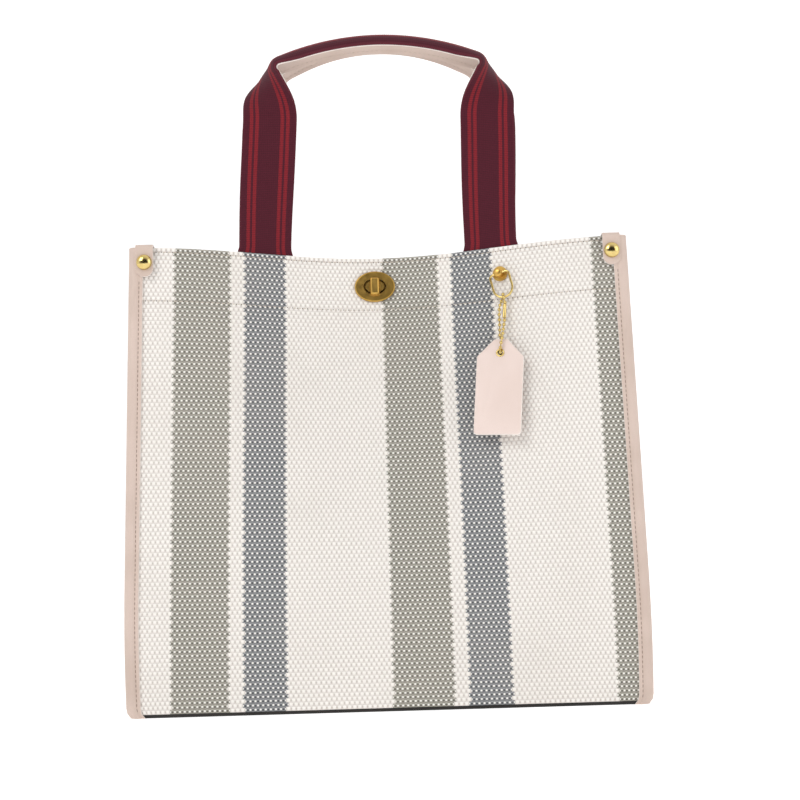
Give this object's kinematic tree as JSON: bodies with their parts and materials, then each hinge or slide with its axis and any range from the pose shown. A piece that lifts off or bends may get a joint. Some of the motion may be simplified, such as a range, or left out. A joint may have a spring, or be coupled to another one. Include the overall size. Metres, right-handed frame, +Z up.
{
  "type": "tote bag",
  "caption": "Upright canvas tote with leather gussets, folding webbing handles, a turnlock drawing the mouth shut, and a hang tag on a ball chain.",
  "frame": {"origin": "middle of the base's underside, on the surface the bag stands on", "axes": "+X to the bag's right, +Y to its back, +Z up"},
  "size_m": [0.357, 0.1332, 0.479],
  "materials": {
    "striped_canvas": "chunky woven canvas with sage, blue-grey and off-white stripes",
    "lining_cloth": "plain cotton twill",
    "blush_leather": "smooth matt, pale painted edges",
    "tag_leather": "smooth matt, pale painted edges",
    "black_leather": "fine grained",
    "grey_board": "pressed board",
    "striped_webbing": "ribbed webbing with red lines",
    "antique_brass": "aged, satin",
    "polished_brass": "polished"
  },
  "bodies": {
    "bag": {"back_facing": "striped_canvas", "back_left_stud": "polished_brass", "back_left_stud_cap": "polished_brass", "back_left_tab": "blush_leather", "back_lining": "lining_cloth", "back_panel": "striped_canvas", "back_right_stud": "polished_brass", "back_right_stud_cap": "polished_brass", "back_right_tab": "blush_leather", "base_board": "grey_board", "base_lining": "lining_cloth", "base_panel": "black_leather", "front_facing": "striped_canvas", "front_handle_tails": "striped_webbing", "front_left_stud": "polished_brass", "front_left_stud_cap": "polished_brass", "front_left_tab": "blush_leather", "front_lining": "lining_cloth", "front_panel": "striped_canvas", "front_right_stud": "polished_brass", "front_right_stud_cap": "polished_brass", "front_right_tab": "blush_leather", "left_gusset": "blush_leather", "left_lining": "lining_cloth", "rear_handle_tails": "striped_webbing", "right_gusset": "blush_leather", "right_lining": "lining_cloth", "tag_post_cap": "polished_brass", "tag_post_rosette": "polished_brass", "turnlock_backing": "antique_brass", "turnlock_base": "antique_brass", "turnlock_cap": "antique_brass", "turnlock_plate": "antique_brass"},
    "front_handle": {"front_handle_webbing": "striped_webbing", "front_handle_grip_leather": "blush_leather"},
    "rear_handle": {"rear_handle_webbing": "striped_webbing", "rear_handle_grip_leather": "blush_leather"},
    "toggle": {"turnlock_toggle": "antique_brass"},
    "post": {"tag_post": "polished_brass"},
    "shackle": {"tag_shackle": "polished_brass"},
    "chain": {"tag_bead_chain": "polished_brass", "tag_chain_connector": "polished_brass"},
    "tag": {"hang_tag": "tag_leather", "tag_eyelet": "polished_brass"}
  },
  "joints": [
    {"name": "front_handle_fold", "type": "hinge", "parent": "bag", "child": "front_handle", "pos_m": [0, -0.03409, 0.31548], "axis": [1, 0, 0], "range_deg": [0, 155]},
    {"name": "rear_handle_fold", "type": "hinge", "parent": "bag", "child": "rear_handle", "pos_m": [0, 0.03559, 0.31568], "axis": [-1, 0, 0], "range_deg": [0, 155]},
    {"name": "toggle_turn", "type": "hinge", "parent": "bag", "child": "toggle", "pos_m": [-0.003, -0.00951, 0.292], "axis": [0, -1, 0], "range_deg": [0, 90]},
    {"name": "post_swivel", "type": "hinge", "parent": "bag", "child": "post", "pos_m": [0.085, -0.02752, 0.296], "axis": [-0.371, -0.9284, 0.0199], "range_deg": [-20, 25]},
    {"name": "shackle_swing", "type": "hinge", "parent": "post", "child": "shackle", "pos_m": [0.08344, -0.03142, 0.29608], "axis": [0.8989, -0.3537, 0.2588], "range_deg": [-85, 0]},
    {"name": "chain_swing", "type": "hinge", "parent": "shackle", "child": "chain", "pos_m": [0.08582, -0.03273, 0.27904], "axis": [0.9286, -0.3711, 0], "range_deg": [-60, 0]},
    {"name": "tag_swing", "type": "hinge", "parent": "chain", "child": "tag", "pos_m": [0.08236, -0.04138, 0.23911], "axis": [-0.2117, -0.9512, 0.2245], "range_deg": [-25, 25]}
  ]
}
